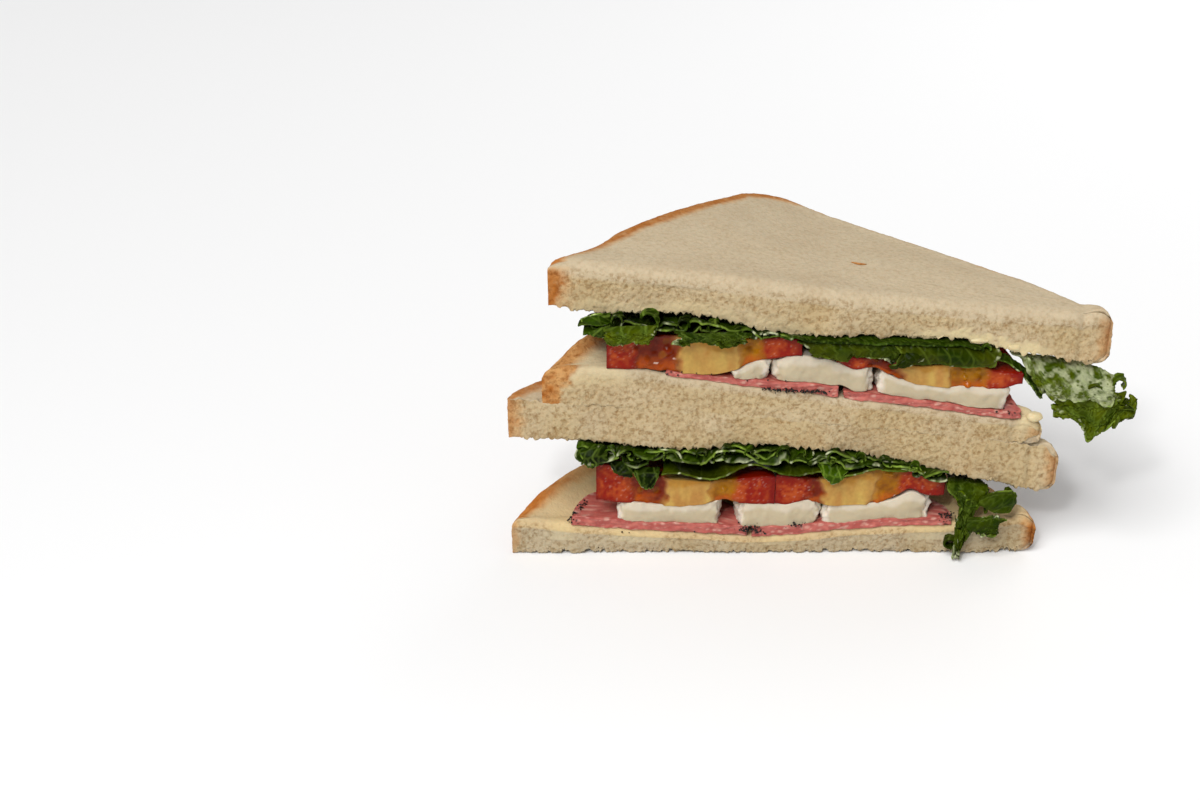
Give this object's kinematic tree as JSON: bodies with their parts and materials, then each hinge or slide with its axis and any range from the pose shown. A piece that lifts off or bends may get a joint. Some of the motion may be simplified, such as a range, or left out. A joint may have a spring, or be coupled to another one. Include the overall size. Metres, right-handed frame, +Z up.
{
  "type": "sandwich",
  "caption": "Triangular half sandwich of white bread, cut on the diagonal, with stacked layers of salami, soft cheese, tomato and curly lettuce at the cut face.",
  "frame": {"origin": "middle of the base of the whole sandwich's bounding box, on the surface it rests on", "axes": "+X right along the cut face, +Y back from the cut face towards the loaf's corner, +Z up"},
  "size_m": [0.1814, 0.085, 0.0965],
  "materials": {
    "bread": "porous crumb",
    "salami": "moist, peppered",
    "cheese": "smooth, soft",
    "tomato": "wet",
    "lettuce": "waxy leaf",
    "lettuce_pale": "waxy leaf, pale green"
  },
  "bodies": {
    "root": {"bread_1_bottom": "bread", "bread_2": "bread", "bread_3": "bread", "bread_4_top": "bread", "cheese_low_back": "cheese", "cheese_low_left": "cheese", "cheese_low_middle": "cheese", "cheese_low_right": "cheese", "cheese_up_back": "cheese", "cheese_up_left": "cheese", "cheese_up_middle": "cheese", "cheese_up_right": "cheese", "lettuce_low_edge_left": "lettuce", "lettuce_low_edge_right": "lettuce", "lettuce_low_fold": "lettuce_pale", "lettuce_low_main": "lettuce", "lettuce_low_sprig": "lettuce", "lettuce_low_sprig_flare": "lettuce", "lettuce_low_sprig_round": "lettuce", "lettuce_low_strip": "lettuce_pale", "lettuce_up_edge_left": "lettuce", "lettuce_up_edge_right": "lettuce", "lettuce_up_flap_left": "lettuce_pale", "lettuce_up_flap_right": "lettuce_pale", "lettuce_up_frill": "lettuce", "lettuce_up_inner_left": "lettuce_pale", "lettuce_up_inner_right": "lettuce_pale", "lettuce_up_main": "lettuce", "lettuce_up_stem": "lettuce", "lettuce_up_tail": "lettuce_pale", "salami_low_back": "salami", "salami_low_left": "salami", "salami_low_right": "salami", "salami_up_back": "salami", "salami_up_left": "salami", "salami_up_right": "salami", "tomato_low_back": "tomato", "tomato_low_left": "tomato", "tomato_low_right": "tomato", "tomato_up_back": "tomato", "tomato_up_left": "tomato", "tomato_up_right": "tomato"}
  },
  "joints": []
}
